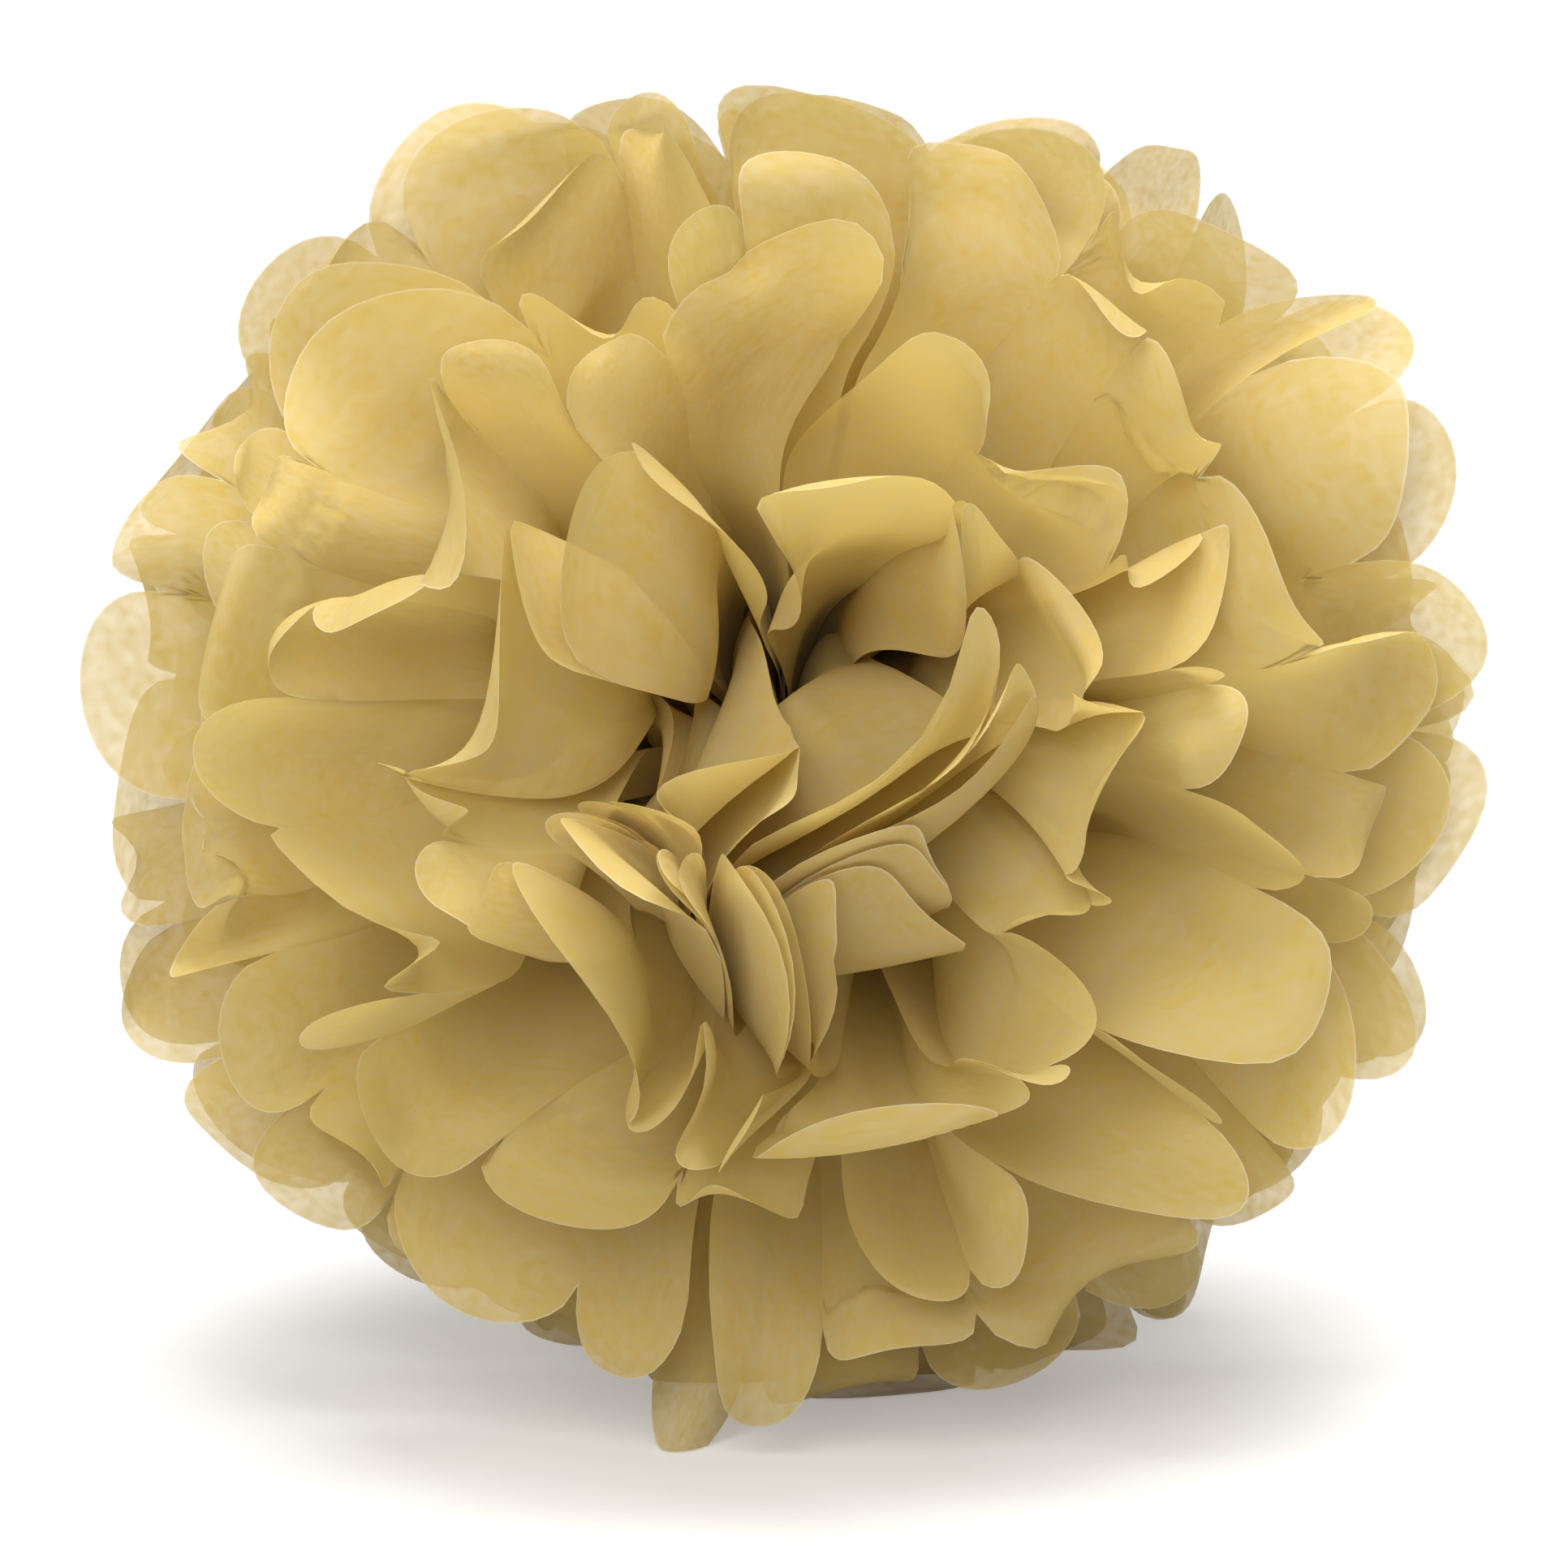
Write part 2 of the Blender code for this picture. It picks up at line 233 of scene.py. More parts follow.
# One side of one sheet: azimuth and polar angle of every station at any radius.
class Fan:
    def __init__(self, sheet, side):
        count = paper["pleats"]
        self.sheet, self.side = sheet, side
        self.share = (sheet + 0.5) / paper["sheets"]
        circle = math.sin(shellPlace(sheet + 0.5))

        # the folds lie where the solid's do
        dice = np.random.RandomState(bloom["seed"] + 2 * sheet + (side > 0))
        spread = bloom["unevenPleats"] + bloom["unevenAtPole"] * (1 - circle)
        openness = np.exp(spread * dice.normal(0, 1, count))
        if (sheet, side) in frontPleats:
            openness = np.array(frontPleats[sheet, side], dtype=float)
        widest = panelWidth / notchRadius / circle / math.pi
        for _ in range(bloom["evenRounds"]):
            openness = openness / openness.mean()
            openness = np.clip(openness, bloom["leastPleat"], max(widest * count, bloom["evenRoom"]))
        steps = np.concatenate([[0.0], np.cumsum(openness / openness.sum())])
        self.depth = 1 - bloom["unevenFolds"] * dice.uniform(0, 1, count + 1)
        self.astray = dice.uniform(-1, 1, count + 1)
        self.lean = dice.uniform(-1, 1, count)
        self.belly = dice.uniform(bloom["leastBelly"], 1, count)
        self.belly[[0, -1]] = 0
        wander = math.radians(bloom["seamWander"])
        seams = np.random.RandomState(bloom["seed"] + bloom["slitDraws"] + sheet).uniform(-wander, wander, 2)
        slit = math.radians(bloom["slit"]) / circle
        top = math.pi / 2 - side * slit
        bottom = math.pi / 2 - side * (math.pi - slit)
        self.nest = top + (bottom - top) * np.linspace(0, 1, count + 1)
        self.own = (top + seams[0]) * (1 - steps) + (bottom + seams[1]) * steps
        self.zig = np.where(np.arange(count + 1) % 2 == 0, -1.0, 1.0)

        # what only the paper's edge does
        dice = np.random.RandomState(bloom["lobeSeed"] + 2 * sheet + (side > 0))
        self.stray = dice.normal(0, math.radians(bloom["stray"]), count + 1)
        self.turn = dice.normal(0, math.radians(bloom["turn"]), count + 1) / max(circle, bloom["leastCircle"])
        self.flare, self.curl, self.twist = dice.normal(0, 1, (3, count))
        towards = -1.0 if sheet < paper["sheets"] / 2 else 1.0
        rolled = dice.uniform(0, 1, count) < bloom["rolled"]
        size = np.where(rolled, dice.uniform(*bloom["rollSizes"], count) ** bloom["rollSkew"], bloom["leastRoll"])
        way = np.where(dice.uniform(0, 1, count) < bloom["rollOut"], -towards, towards)
        rollFrom = bloom["rollFrom"] + dice.uniform(*bloom["rollStray"], count)
        curled = dice.uniform(0, 1, count) < bloom["curled"]
        curl = way * bloom["curlTight"] * dice.uniform(*bloom["curlSizes"], count)
        curlFrom = bloom["curlFrom"] + dice.uniform(*bloom["curlStray"], count)
        self.roll = np.where(curled, curl, way * size * bloom["rollTight"])
        self.rollFrom = np.where(curled, curlFrom, rollFrom)
        spurred = dice.uniform(0, 1, count + 1) < paper["spurred"]
        self.spurs = np.where(spurred, dice.uniform(*paper["spurSizes"], count + 1), 0.0)

        # the rim: half circles, with a beak at some notches
        self.flatRim = notchRadius + panelWidth / 2 * np.sqrt(np.clip(1 - u**2, 0, 1))
        for fold, size in enumerate(self.spurs):
            away = (panel + half - fold) * panelWidth
            self.flatRim = self.flatRim + paper["spur"] * size * np.exp(-((away / paper["spurWidth"]) ** 2))
        self.rim = self.bentRadius(self.flatRim)

    # Where each station begins to bend over: a curved line from notch to notch.
    def bendLine(self):
        return self.rollFrom[panel] + (notchRadius + bloom["bendPastNotch"] - self.rollFrom[panel]) * u**2

    # The radius that a point of the flat paper comes to when its lobe is bent over: first along an arc, by the sine
    # of the angle over the curvature, and straight on past the most bend.
    def bentRadius(self, flat):
        tight = np.abs(self.roll[panel])
        line = self.bendLine()
        past = np.clip(flat - line, 0, None)
        turned = np.minimum(tight * past, bloom["mostBend"])
        return np.where(flat > line, line + np.sin(turned) / tight + (past - turned / tight) * np.cos(turned), flat)

    # How far the same bend carries a point of that radius square to its panel.
    def bentAside(self, radius):
        tight = np.abs(self.roll[panel])
        past = np.clip(radius - self.bendLine(), 0, None)
        sine = np.minimum(tight * past, math.sin(bloom["mostBend"]))
        aside = (1 - np.sqrt(1 - sine**2)) / tight + (past - sine / tight) * math.tan(bloom["mostBend"])
        return aside * np.sign(self.roll[panel])

    # Azimuth and polar angle of the thirteen folds, for an array of radii. Half the zigzag's depth is what is left,
    # by Pythagoras, of a panel's width beside the spread of its two folds.
    def folds(self, radius):
        radius = radius[..., None]
        own = smooth(radius, bloom["nestFrom"], bloom["nestTo"])
        opened = openedAt(radius)
        azimuth = self.nest * (1 - own) + self.own * own + self.turn * opened
        front, back = shellBorder(self.sheet, azimuth), shellBorder(self.sheet + 1, azimuth)
        width = paper["slack"] * panelWidth / radius
        deepest = np.minimum(0.5 * width, math.radians(bloom["deepest"]))
        edge = deepest + math.radians(bloom["nestEdge"])
        centre = (front + back) / 2 * own + (edge + (math.pi - 2 * edge) * self.share) * (1 - own)
        tight = smooth(radius, bloom["roomFrom"], bloom["roomTo"])
        room = ((back - front) / 2 - math.radians(bloom["shellClear"])) * tight + deepest * (1 - tight)
        spread = np.abs(np.gradient(azimuth, axis=-1)) * np.sin(centre)
        depth = 0.5 * np.sqrt(np.clip(width**2 - spread**2, 0, None))
        depth = np.minimum(depth, room) * (1 - (1 - self.depth) * own) * smooth(radius, 0, paper["bundleEnd"])
        polar = centre + self.zig * depth + self.astray * (room - depth) * tight + self.stray * opened
        nearest = math.radians(bloom["nearestPole"])
        return azimuth, np.clip(polar, nearest, math.pi - nearest)

    # Azimuth and polar angle of every station, for radii as rows by stations.
    def surface(self, radius):
        azimuth, polar = self.folds(radius)
        here, there = panel[None, :, None], panel[None, :, None] + 1
        a, b = np.take_along_axis(azimuth, here, 2)[..., 0], np.take_along_axis(azimuth, there, 2)[..., 0]
        c, d = np.take_along_axis(polar, here, 2)[..., 0], np.take_along_axis(polar, there, 2)[..., 0]
        circle = np.sin((c + d) / 2)
        turn, rise = (b - a) * circle, d - c
        chord = np.hypot(turn, rise) + 1e-9
        bulge = 1 - u**2

        # the belly goes the same way round in all panels of a fan, the rest goes forward or back: a shallow arc
        # that is longer than its chord rises by the root of 3/8 of the chord times what it is longer
        belly = np.sqrt(3 / 8 * chord * np.clip(panelWidth / radius - chord, 0, None))
        belly = np.minimum(belly, bloom["belly"] * chord * circle) * self.belly[panel] * bulge
        along = a + (b - a) * (u + 1) / 2 + belly * np.abs(rise) / chord / circle
        angle = c + rise * (u + 1) / 2 - belly * np.sign(rise) * turn / chord
        opened = openedAt(radius)
        beyond = np.clip((radius - notchRadius) / (rimRadius - notchRadius), 0, 1)
        grown = smooth(radius, 0, bloom["shoulder"]) * (bloom["shoulderLean"] + (1 - bloom["shoulderLean"]) * opened)
        lean = math.radians(bloom["lean"]) * self.lean[panel] * grown
        flare = (bloom["flare"] * self.flare[panel] + bloom["twist"] * self.twist[panel] * u) * opened**2
        aside = flare * bulge + bloom["curl"] * self.curl[panel] * beyond**1.5 + self.bentAside(radius)
        openness = np.abs(turn) / chord
        return along, angle + (lean * bulge + aside / radius) * openness


sides = (1, -1)
fans = {(sheet, side): Fan(sheet, side) for sheet in range(paper["sheets"]) for side in sides}

# Contact. On a grid of azimuth and radius every sheet keeps its place in the stack: wherever two would cross, both
# give way to the same middle, which is the least change that puts all of them in order again.
gridAzimuth = np.radians(np.arange(-180, 180, mesh["gridStep"]))
gridRadius = np.linspace(mesh["start"], rimRadius, mesh["gridRows"])


# Polar angle of each sheet on the grid, and how much it counts there: all, or next to nothing past its rim.
def onGrid():
    polar = np.zeros((paper["sheets"], len(gridRadius), len(gridAzimuth)))
    present = np.zeros_like(polar)
    radius = np.repeat(gridRadius[:, None], stations, axis=1)
    for (sheet, side), fan in fans.items():
        azimuth, angle = fan.surface(radius)
        turned = slice(None, None, -side)
        for row in range(len(gridRadius)):
            along = np.maximum.accumulate(azimuth[row][turned])
            for lap in (-2 * math.pi, 0, 2 * math.pi):
                inside = (gridAzimuth + lap >= along[0]) & (gridAzimuth + lap <= along[-1])
                where = gridAzimuth[inside] + lap
                polar[sheet, row, inside] = np.interp(where, along, angle[row][turned])
                reach = np.interp(where, along, fan.rim[turned])
                counts = gridRadius[row] <= reach + mesh["rimReach"]
                present[sheet, row, inside] = np.where(counts, 1.0, mesh["absent"])
    return polar, present


# The nearest ordered stack: the min-max form of isotonic regression, with the gap between neighbours built in.
def inOrder(polar, present):
    weight = np.maximum(present, 1e-5)
    steps = (paper["leastGap"] / gridRadius)[None, :, None] * np.arange(paper["sheets"])[:, None, None]
    value = polar - steps
    sumWeight = np.concatenate([np.zeros_like(weight[:1]), np.cumsum(weight, axis=0)])
    sumValue = np.concatenate([np.zeros_like(value[:1]), np.cumsum(value * weight, axis=0)])
    result = np.empty_like(value)
    for k in range(paper["sheets"]):
        best = None
        for low in range(k + 1):
            least = None
            for high in range(k, paper["sheets"]):
                mean = (sumValue[high + 1] - sumValue[low]) / (sumWeight[high + 1] - sumWeight[low])
                least = mean if least is None else np.minimum(least, mean)
            best = least if best is None else np.maximum(best, least)
        result[k] = best
    return result + steps


# Bilinear reading of a grid field.
def sample(field, radius, azimuth):
    r = np.clip((radius - gridRadius[0]) / (gridRadius[1] - gridRadius[0]), 0, len(gridRadius) - 1.001)
    a = np.mod(azimuth - gridAzimuth[0], 2 * math.pi) / (gridAzimuth[1] - gridAzimuth[0])
    r0, a0 = r.astype(int), a.astype(int) % len(gridAzimuth)
    fr, fa = r - r0, a - np.floor(a)
    a1 = (a0 + 1) % len(gridAzimuth)
    inner = field[r0, a0] * (1 - fa) + field[r0, a1] * fa
    outer = field[r0 + 1, a0] * (1 - fa) + field[r0 + 1, a1] * fa
    return inner * (1 - fr) + outer * fr


# The field blurred over a few cells both ways, each cell by how much its sheet counts there.
def softened(field, weight):
    over, under = np.where(weight > 1e-6, field * weight, 0), weight + 1e-4
    for _ in range(mesh["softening"]):
        for layer in (over, under):
            layer += np.roll(layer, 1, axis=2) + np.roll(layer, -1, axis=2)
            layer /= 3
            layer[:, 1:-1] = (layer[:, :-2] + layer[:, 1:-1] + layer[:, 2:]) / 3
    return over / under


# Each round gives way softly, and the next one mends what that left
polarGrid, presentGrid = onGrid()
shift = np.zeros_like(polarGrid)
for _ in range(mesh["contactRounds"]):
    shift += softened(inOrder(polarGrid + shift, presentGrid) - polarGrid - shift, presentGrid)
print("sheets put in order, most moved by", round(float(np.degrees(np.abs(shift).max())), 1), "degrees")


# The round end of the flat band under the wire, for every station of a fan.
def root(sheet, side):
    depth = paper["pitch"] * (sheet - (paper["sheets"] - 1) / 2)
    layer = min(sheet, paper["sheets"] - 1 - sheet)
    bandHalf = paper["bandHalf"] + paper["pitch"] * layer
    heightHalf = math.sqrt((bundleRadius - paper["bandInset"]) ** 2 - depth**2)
    turn = np.linspace(math.pi / 2, -math.pi / 2, stations)
    width = side * (bandHalf + heightHalf * np.cos(turn))
    return np.stack([width, np.full(stations, depth), heightHalf * np.sin(turn)], axis=1)


# The petals round a pole lean together: a shift that fades away from the pole as a bell curve.
def leanOver(points):
    radius = np.linalg.norm(points, axis=-1)
    for pole, lean in ((-1, bloom["frontLean"]), (1, bloom["backLean"])):
        fromPole = np.arccos(np.clip(pole * points[..., 1] / radius, -1, 1))
        share = bell(fromPole, bloom["leanSpread"]) * (radius / rimRadius) ** 2
        points = points + share[..., None] * np.array([lean[0], 0.0, lean[1]])
    return points


# The tips round a pole draw together: their polar angle shrinks by a share that fades as a bell curve.
def closeOver(polar, radius):
    grown = smooth(radius, bloom["closeFrom"], bloom["closeTo"])
    polar = polar * (1 - bloom["frontClose"] * grown * bell(polar, bloom["closeSpread"]))
    rest = math.pi - polar
    return math.pi - rest * (1 - bloom["backClose"] * grown * bell(rest, bloom["closeSpread"]))


# Slow dents by direction that all the sheets share, so that they stay apart: a sum of waves over the ball.
def crumple(points):
    waves = drawWaves(bloom["crumpleSeed"], bloom["crumpleWaves"], bloom["crumpleLength"])
    radius = np.linalg.norm(points, axis=-1)[..., None] + 1e-9
    depth = bloom["crumple"] * math.sqrt(2 / bloom["crumpleWaves"])
    return points + sumWaves(waves, points / radius) * depth * radius


# Quicker dents through the whole ball, also shared: a flow along a sum of plane waves, in small steps, so that
# even a deep dent turns nothing inside out. None near the wire, most round the front pole.
def crush(points):
    waves = drawWaves(bloom["crushSeed"], bloom["crushWaves"], bloom["crushLength"])
    radius = np.linalg.norm(points, axis=-1) + 1e-9
    fromPole = np.arccos(np.clip(-points[..., 1] / radius, -1, 1))
    depth = bloom["crush"] + bloom["frontCrush"] * bell(fromPole, bloom["crushSpread"])
    depth = depth * smooth(radius, bloom["crushFrom"], bloom["crushTo"])
    depth = depth * math.sqrt(2 / bloom["crushWaves"]) / bloom["crushSteps"]
    for _ in range(bloom["crushSteps"]):
        points = points + sumWaves(waves, points) * depth[..., None]
    return points


# The points of one fan, row by row from the band to the rim, and their radius on the flat paper.
def fanPoints(sheet, side):
    fan = fans[sheet, side]
    start, inner = root(sheet, side), mesh["start"]
    steps = 1 - (1 - np.linspace(0, 1, mesh["rows"])[:, None]) ** mesh["finerRim"]
    flat = inner + (fan.flatRim - inner) * steps
    radius = np.stack([fan.bentRadius(row) for row in flat])
    azimuth, polar = fan.surface(radius)
    polar = closeOver(polar + sample(shift[sheet], radius, azimuth), radius)
    way = np.stack([np.cos(azimuth) * np.sin(polar), -np.cos(polar), np.sin(azimuth) * np.sin(polar)], axis=-1)
    settle = smooth(radius, inner, inner + mesh["settled"])[..., None]
    straight = start + way * (radius - inner)[..., None]
    return leanOver(straight * (1 - settle) + way * radius[..., None] * settle), flat


# What would hang below the table is folded onto it, and keeps its length.
def layOnTable(points, away):
    table = paper["tableGap"] - middle[2]
    low = points[..., 2] < table
    over = np.where(low, 1 - table / np.minimum(points[..., 2], -1e-6), 0.0)
    length = np.linalg.norm(points, axis=-1) * over
    points = points * (1 - over)[..., None]
    points[..., 1] += away * length
    points[..., 2] += low * (paper["tableLift"] * smooth(length, 0, paper["tableLiftOver"]))
    return points


# A mesh of four-sided faces that keeps two attributes: the place on the flat paper, and the distance from its edge.
def makeMesh(name, points, faces, flat, inside, sharp):
    made = bpy.data.meshes.new(name)
    made.vertices.add(len(points))
    made.vertices.foreach_set("co", points.astype(np.float32).ravel())
    made.loops.add(faces.size)
    made.loops.foreach_set("vertex_index", faces.astype(np.int32).ravel())
    made.polygons.add(len(faces))
    made.polygons.foreach_set("loop_start", np.arange(0, faces.size, 4, dtype=np.int32))
    made.polygons.foreach_set("use_smooth", np.ones(len(faces), dtype=bool))
    made.update(calc_edges=True)
    pattern = made.attributes.new("pattern", "FLOAT_VECTOR", "POINT")
    pattern.data.foreach_set("vector", flat.astype(np.float32).ravel())
    edge = made.attributes.new("inside", "FLOAT", "POINT")
    edge.data.foreach_set("value", inside.astype(np.float32).ravel())
    ends = np.zeros(len(made.edges) * 2, dtype=np.int32)
    made.edges.foreach_get("vertices", ends)
    ends = ends.reshape(-1, 2)
    crease = made.attributes.new("sharp_edge", "BOOLEAN", "EDGE")
    lengthwise = np.abs(ends[:, 0] - ends[:, 1]) > 1
    crease.data.foreach_set("value", sharp[ends[:, 0]] & sharp[ends[:, 1]] & lengthwise)
    made.validate()
    return made


# Distance on the flat paper to the cut edge: to the half circle past the notches, to a notch before them.
def toEdge(along):
    past = np.abs(along) - notchRadius
    across = panelWidth / 2 * np.abs(u)
    lobe = panelWidth / 2 - np.hypot(across, past)
    return np.where(past > 0, np.clip(lobe, 0, None), np.hypot(panelWidth / 2 - across, past))


# One bow: a grid of points from the left rim through the flat band to the right rim.
def makeSheet(sheet):
    away = -1 if sheet < paper["sheets"] / 2 else 1
    right, rightAlong = fanPoints(sheet, 1)
    left, leftAlong = fanPoints(sheet, -1)
    grid = np.concatenate([left[::-1], root(sheet, -1)[None], root(sheet, 1)[None], right])
    band = np.full((1, stations), mesh["patternBand"])
    along = np.concatenate([-leftAlong[::-1], -band, band, rightAlong])
    grid = layOnTable(crush(crumple(grid)), away) + middle
    index = np.arange(grid.shape[0] * stations).reshape(-1, stations)
    faces = np.stack([index[:-1, :-1], index[1:, :-1], index[1:, 1:], index[:-1, 1:]], axis=-1).reshape(-1, 4)
    place = np.broadcast_to((panel + (u + 1) / 2) * panelWidth, along.shape)
    flat = np.stack([place, along, np.full_like(along, mesh["patternStep"] * sheet)], axis=-1)
    sharp = np.zeros(along.shape, dtype=bool)
    sharp[:, ::mesh["columns"]] = True
    name = f"paper{sheet + 1}"
    made = makeMesh(name, grid.reshape(-1, 3), faces, flat.reshape(-1, 3), toEdge(along), sharp.ravel())
    piece = bpy.data.objects.new(name, made)
    bpy.context.scene.collection.objects.link(piece)
    return piece


# A new shader node: each of the links is another node's output or a plain value.
def node(tree, kind, links=(), **values):
    made = tree.nodes.new(kind)
    for name, value in values.items():
        setattr(made, name, value)
    for socket, source in dict(links).items():
        if isinstance(source, bpy.types.NodeSocket):
            tree.links.new(source, made.inputs[socket])
        else:
            made.inputs[socket].default_value = source
    return made


# The colour that lies a share of the way from a to b.
def mixed(tree, share, a, b):
    made = tree.nodes.new("ShaderNodeMix")
    made.data_type = "RGBA"
    tree.links.new(share, made.inputs[0])
    for socket, value in ((made.inputs[6], a), (made.inputs[7], b)):
        if isinstance(value, bpy.types.NodeSocket):
            tree.links.new(value, socket)
        else:
            socket.default_value = value
    return made.outputs[2]


tissue = {
    "thick": (0.620, 0.465, 0.135, 1),
    "thin": (0.705, 0.582, 0.305, 1),
    "glow": (0.690, 0.535, 0.145, 1),  # of the light that has gone through
    # painted highlight: the colour and width of a paler band along the cut edge
    "edge": (0.76, 0.69, 0.50, 1),
    "paintedHighlightWidth": 0.00035,
    "through": 0.38,          # share of the light that comes out on the other side
    "clearThick": 0.10,       # share that passes straight between the fibres
    "clearThin": 0.24,
    "clouds": 95.0,           # of these three the scale is per metre
    "specks": 650.0,
    "fibres": 330.0,
    "cloudDetail": 2.0,
    "fibreDetail": 1.0,
    "rough": 0.65,
    "spread": (0.55, 1.47),   # of clouds and specks together, from all thick to all thin
    "fibreStretch": (1.0, 0.45, 1.0),
    "bump": 0.35,
    "bumpDepth": 0.0005,
    "sheen": 0.3,             # roughness of the dull surface
}


# Paper that throws light back, lets some of it through, and is open between its fibres where it is thin; a painted
# highlight lightens its cut edge.
def tissueMaterial():
    material = bpy.data.materials.new("tissuePaper")
    material.use_nodes = True
    material.use_transparent_shadow = False
    tree = material.node_tree
    tree.nodes.clear()
    where = node(tree, "ShaderNodeAttribute", attribute_name="pattern").outputs["Vector"]
    inside = node(tree, "ShaderNodeAttribute", attribute_name="inside").outputs["Fac"]

    # the fibres lie thick and thin, in clouds and in specks
    noise = "ShaderNodeTexNoise"
    mottled = {"Vector": where, "Roughness": tissue["rough"]}
    clouds = node(tree, noise, {**mottled, "Scale": tissue["clouds"], "Detail": tissue["cloudDetail"]})
    specks = node(tree, noise, {**mottled, "Scale": tissue["specks"], "Detail": 0.0})
    both = node(tree, "ShaderNodeMath", {0: clouds.outputs["Fac"], 1: specks.outputs["Fac"]}, operation="ADD")
    allThick, allThin = tissue["spread"]
    ramp = "ShaderNodeMapRange"
    thin = node(tree, ramp, {"Value": both.outputs[0], "From Min": allThick, "From Max": allThin}).outputs[0]
    body = mixed(tree, thin, tissue["thick"], tissue["thin"])
    # painted highlight: within that width of the cut edge the colour turns paler
    rim = node(tree, ramp, {"Value": inside, "From Min": tissue["paintedHighlightWidth"], "From Max": 0.0}).outputs[0]
    colour = mixed(tree, rim, body, tissue["edge"])

    # the fibres make the surface uneven, longer along the pleats than across
    stretched = node(tree, "ShaderNodeVectorMath", {0: where, 1: tissue["fibreStretch"]}, operation="MULTIPLY")
    streaked = {"Vector": stretched.outputs[0], "Roughness": tissue["rough"]}
    fibres = node(tree, noise, {**streaked, "Scale": tissue["fibres"], "Detail": tissue["fibreDetail"]})
    uneven = {"Strength": tissue["bump"], "Distance": tissue["bumpDepth"], "Height": fibres.outputs["Fac"]}
    bump = node(tree, "ShaderNodeBump", uneven)
    dull = {"Color": colour, "Roughness": tissue["sheen"], "Normal": bump.outputs[0]}
    front = node(tree, "ShaderNodeBsdfDiffuse", dull)
    back = node(tree, "ShaderNodeBsdfTranslucent", {"Color": tissue["glow"], "Normal": bump.outputs[0]})
    solid = node(tree, "ShaderNodeMixShader", {0: tissue["through"], 1: front.outputs[0], 2: back.outputs[0]})
    clear = node(tree, ramp, {"Value": thin, "To Min": tissue["clearThick"], "To Max": tissue["clearThin"]})
    gaps = node(tree, "ShaderNodeBsdfTransparent")
    sheet = node(tree, "ShaderNodeMixShader", {0: clear.outputs[0], 1: solid.outputs[0], 2: gaps.outputs[0]})
    out = node(tree, "ShaderNodeOutputMaterial")
    tree.links.new(sheet.outputs[0], out.inputs["Surface"])
    return material


tieWire = {"colour": (0.55, 0.55, 0.56, 1), "metallic": 1.0, "roughness": 0.38}


def wireMaterial():
    material = bpy.data.materials.new("tieWire")
    material.use_nodes = True
    shader = material.node_tree.nodes["Principled BSDF"]
    shader.inputs["Base Color"].default_value = tieWire["colour"]
    shader.inputs["Metallic"].default_value = tieWire["metallic"]
    shader.inputs["Roughness"].default_value = tieWire["roughness"]
    return material


tissuePaper = tissueMaterial()
for sheet in range(paper["sheets"]):
    piece = makeSheet(sheet)
    piece.data.materials.append(tissuePaper)
    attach(piece, "root")
    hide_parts(f"sheet_{sheet + 1:02d}")
print("twelve sheets made")

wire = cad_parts["tie_wire"]
wire.data.materials.clear()
wire.data.materials.append(wireMaterial())

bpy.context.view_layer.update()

studio = {
    "world": 0.37,
    "topLamp": 32.0,
    "frontLamp": 25.5,
    "floor": (0.66, 0.656, 0.649, 1),
    # what the camera sees on top of the floor's own light, near and far, so that it ends in white
    "floorGlow": 0.32,
    "farGlow": 0.85,
    "glowFrom": 0.15,
    "floorFar": 0.9,
    "floorHalf": 8.0,
    "lampSize": 1.2,
    "topPlace": (0.08, -0.15, 1.5),
    "frontPlace": (-0.35, -1.6, 0.9),
    "lampTarget": (0, 0, 0.12),
    "elevation": 8.0,
    "distance": 1.30,
    "aim": (-0.0004, 0.0, 0.1112),
    "halfWidth": 0.1409,
}


def lamp(name, energy, location):
    data = bpy.data.lights.new(name, "AREA")
    data.energy, data.size = energy, studio["lampSize"]
    made = bpy.data.objects.new(name, data)
    bpy.context.scene.collection.objects.link(made)
    made.location = location
    made.rotation_euler = (Vector(studio["lampTarget"]) - Vector(location)).to_track_quat("-Z", "Y").to_euler()


# A soft grey light all round, which the camera and mirrors see as white, and two large soft lamps.
def makeWorld():
    world = bpy.data.worlds.new("studio")
    bpy.context.scene.world = world
    world.use_nodes = True
    tree = world.node_tree
    tree.nodes.clear()
    path = node(tree, "ShaderNodeLightPath")
    rays = {0: path.outputs["Is Camera Ray"], 1: path.outputs["Is Glossy Ray"]}
    seen = node(tree, "ShaderNodeMath", rays, operation="MAXIMUM")
    white = node(tree, "ShaderNodeBackground", {"Color": (1, 1, 1, 1), "Strength": 1.0})
    soft = node(tree, "ShaderNodeBackground", {"Color": (1, 1, 1, 1), "Strength": studio["world"]})
    mix = node(tree, "ShaderNodeMixShader", {0: seen.outputs[0], 1: soft.outputs[0], 2: white.outputs[0]})
    out = node(tree, "ShaderNodeOutputWorld")
    tree.links.new(mix.outputs[0], out.inputs["Surface"])
    lamp("topSoftbox", studio["topLamp"], studio["topPlace"])
    lamp("frontSoftbox", studio["frontLamp"], studio["frontPlace"])


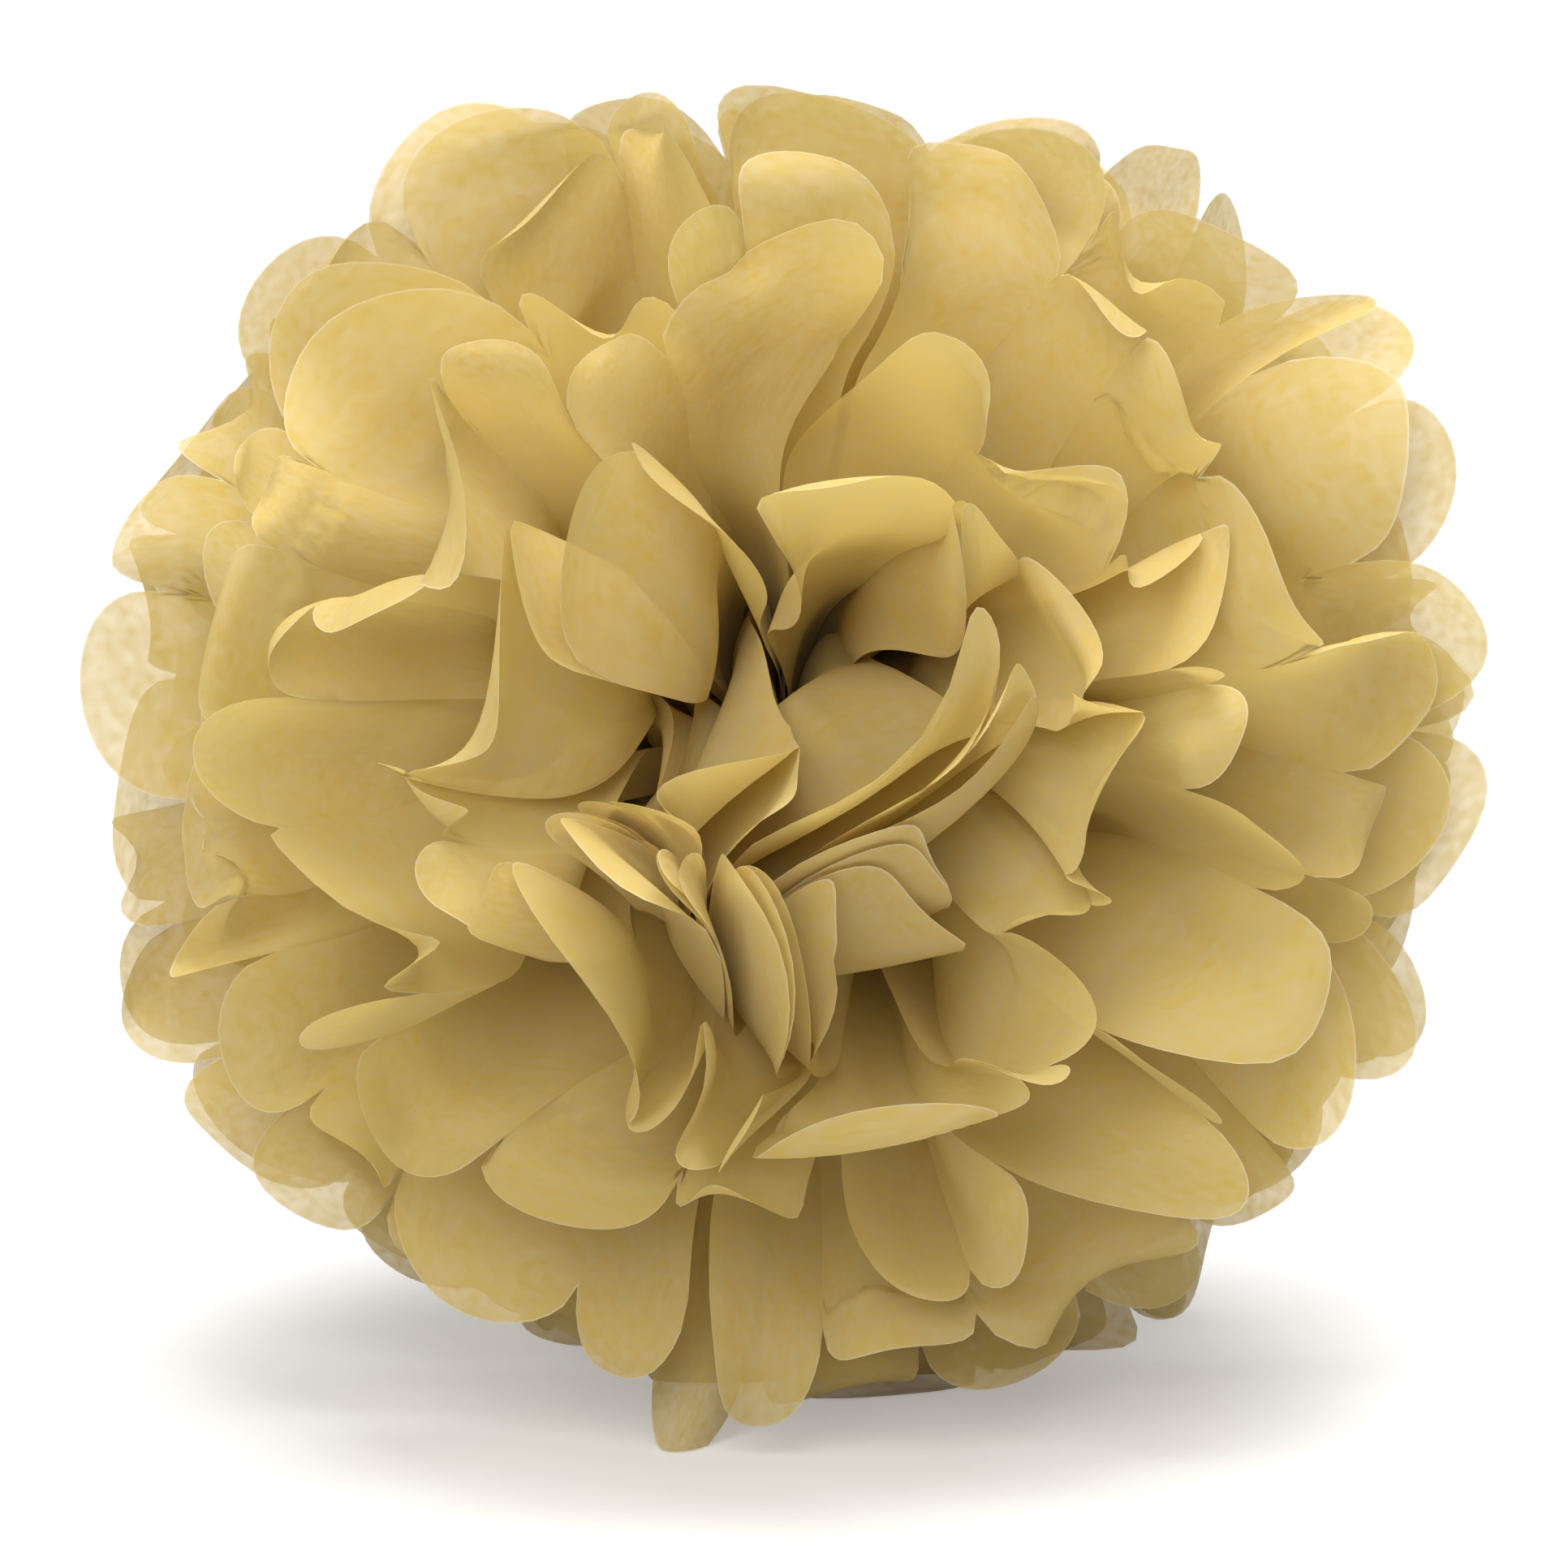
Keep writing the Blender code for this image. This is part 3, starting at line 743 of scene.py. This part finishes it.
# A white floor that keeps the shadow, and glows for the camera so that it fades into the white behind it.
def makeFloor():
    far = studio["floorHalf"]
    surface = bpy.data.meshes.new("floor")
    surface.from_pydata([(-far, -far, 0), (far, -far, 0), (far, far, 0), (-far, far, 0)], [], [(0, 1, 2, 3)])
    floor = bpy.data.objects.new("floor", surface)
    bpy.context.scene.collection.objects.link(floor)
    material = bpy.data.materials.new("floorWhite")
    material.use_nodes = True
    tree = material.node_tree
    tree.nodes.clear()
    place = node(tree, "ShaderNodeTexCoord").outputs["Object"]
    away = node(tree, "ShaderNodeVectorMath", {0: place}, operation="LENGTH").outputs["Value"]
    near = {"From Min": studio["glowFrom"], "To Min": studio["floorGlow"]}
    faded = {"From Max": studio["floorFar"], "To Max": studio["farGlow"]}
    glow = node(tree, "ShaderNodeMapRange", {"Value": away, **near, **faded})
    seen = node(tree, "ShaderNodeLightPath").outputs["Is Camera Ray"]
    strength = node(tree, "ShaderNodeMath", {0: glow.outputs[0], 1: seen}, operation="MULTIPLY")
    light = node(tree, "ShaderNodeEmission", {"Color": (1, 1, 1, 1), "Strength": strength.outputs[0]})
    white = node(tree, "ShaderNodeBsdfDiffuse", {"Color": studio["floor"]})
    both = node(tree, "ShaderNodeAddShader", {0: light.outputs[0], 1: white.outputs[0]})
    out = node(tree, "ShaderNodeOutputMaterial")
    tree.links.new(both.outputs[0], out.inputs["Surface"])
    surface.materials.append(material)


# The camera looks a little down at the ball. Its lens over half its sensor is the distance over half the width seen.
def makeCamera():
    data = bpy.data.cameras.new("photoCamera")
    camera = bpy.data.objects.new("photoCamera", data)
    bpy.context.scene.collection.objects.link(camera)
    elevation = math.radians(studio["elevation"])
    aim = Vector(studio["aim"])
    camera.location = aim + Vector((0, -math.cos(elevation), math.sin(elevation))) * studio["distance"]
    camera.rotation_euler = (aim - camera.location).to_track_quat("-Z", "Y").to_euler()
    data.sensor_width = 36
    data.lens = data.sensor_width / 2 * studio["distance"] / studio["halfWidth"]
    data.clip_start, data.clip_end = 0.01, 50
    bpy.context.scene.camera = camera


makeWorld()
makeFloor()
makeCamera()
bpy.context.scene.view_settings.view_transform = "Standard"
print("studio ready")
